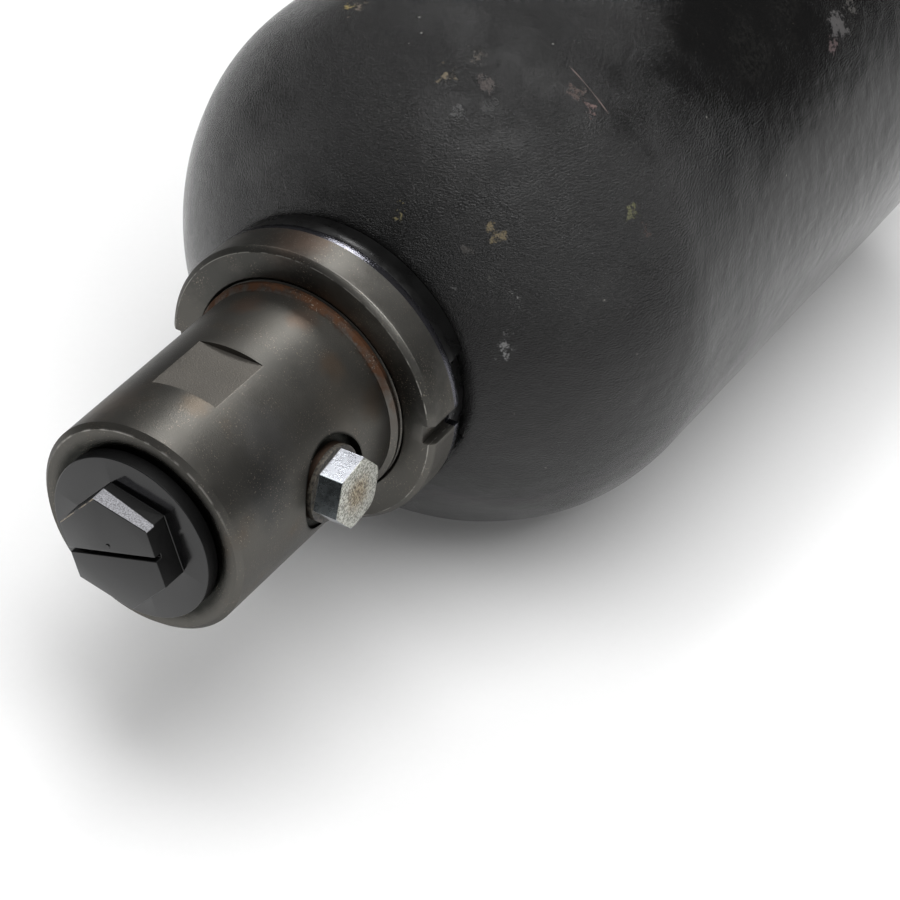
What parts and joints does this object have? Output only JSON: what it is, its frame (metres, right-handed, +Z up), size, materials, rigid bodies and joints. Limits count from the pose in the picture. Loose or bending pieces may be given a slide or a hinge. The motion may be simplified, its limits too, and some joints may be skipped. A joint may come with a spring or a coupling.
{
  "type": "bladder accumulator",
  "caption": "Hydraulic bladder accumulator: black forged shell, steel fluid port with spanner flats, bleed screw, slotted lock nut and black thread plug.",
  "frame": {"origin": "centre of the fluid port body's front face, on the main axis", "axes": "+Y along the main axis from the fluid port to the gas valve, +X towards the bleed screw, +Z up, square to the spanner flats"},
  "size_m": [0.1778, 0.454, 0.1778],
  "materials": {
    "shell_paint": "black paint over forged steel, satin, hammered, scuffed",
    "black_oxide": "black oxide on turned steel, satin",
    "ring_paint": "black, glossy",
    "zinc_plate": "zinc plate, weathered on the end face",
    "plug_plastic": "moulded black plastic, glossy",
    "cap_plastic": "moulded black plastic, matt",
    "plain_steel": "turned steel",
    "spring_steel": "spring wire",
    "brass": "turned brass",
    "bronze": "bearing bronze",
    "copper": "copper, dull",
    "rubber": "nitrile rubber, matt",
    "white_ptfe": "PTFE, matt"
  },
  "bodies": {
    "vessel": {"shell": "shell_paint", "bladder": "rubber", "gas_valve_stem": "plain_steel", "gas_o_ring": "rubber", "gas_washer": "plain_steel", "gas_lock_nut": "black_oxide", "valve_insert": "brass", "seal_cap_ring": "rubber", "seal_cap": "brass", "guard_cap": "cap_plastic", "fluid_port_body": "black_oxide", "guide_bush": "bronze", "poppet_spring": "spring_steel", "anti_extrusion_ring": "rubber", "support_ring_halves": "plain_steel", "port_washer": "plain_steel", "port_o_ring": "rubber", "backup_ring": "white_ptfe", "spacer_ring": "ring_paint", "lock_nut": "black_oxide", "bleed_seal_ring": "copper", "transport_plug": "plug_plastic"},
    "poppet_valve": {"poppet": "plain_steel", "poppet_washer": "plain_steel", "poppet_stop_nut": "zinc_plate"},
    "bleed_valve": {"bleed_screw": "zinc_plate"},
    "gas_valve_pin": {"valve_pin": "brass"}
  },
  "joints": [
    {"name": "poppet_slide", "type": "slide", "parent": "vessel", "child": "poppet_valve", "axis": [0, -1, 0], "range_m": [0, 0.012], "stiffness_N_per_m": 1200, "springref_m": -0.012, "deforming": ["poppet_spring"]},
    {"name": "bleed_screw_turn", "type": "hinge", "parent": "vessel", "child": "bleed_valve", "pos_m": [0.03, 0.045, 0], "axis": [1, 0, 0], "range_deg": [0, 360]},
    {"name": "valve_pin_slide", "type": "slide", "parent": "vessel", "child": "gas_valve_pin", "axis": [0, -1, 0], "range_m": [0, 0.0012], "stiffness_N_per_m": 600, "springref_m": -0.001}
  ]
}
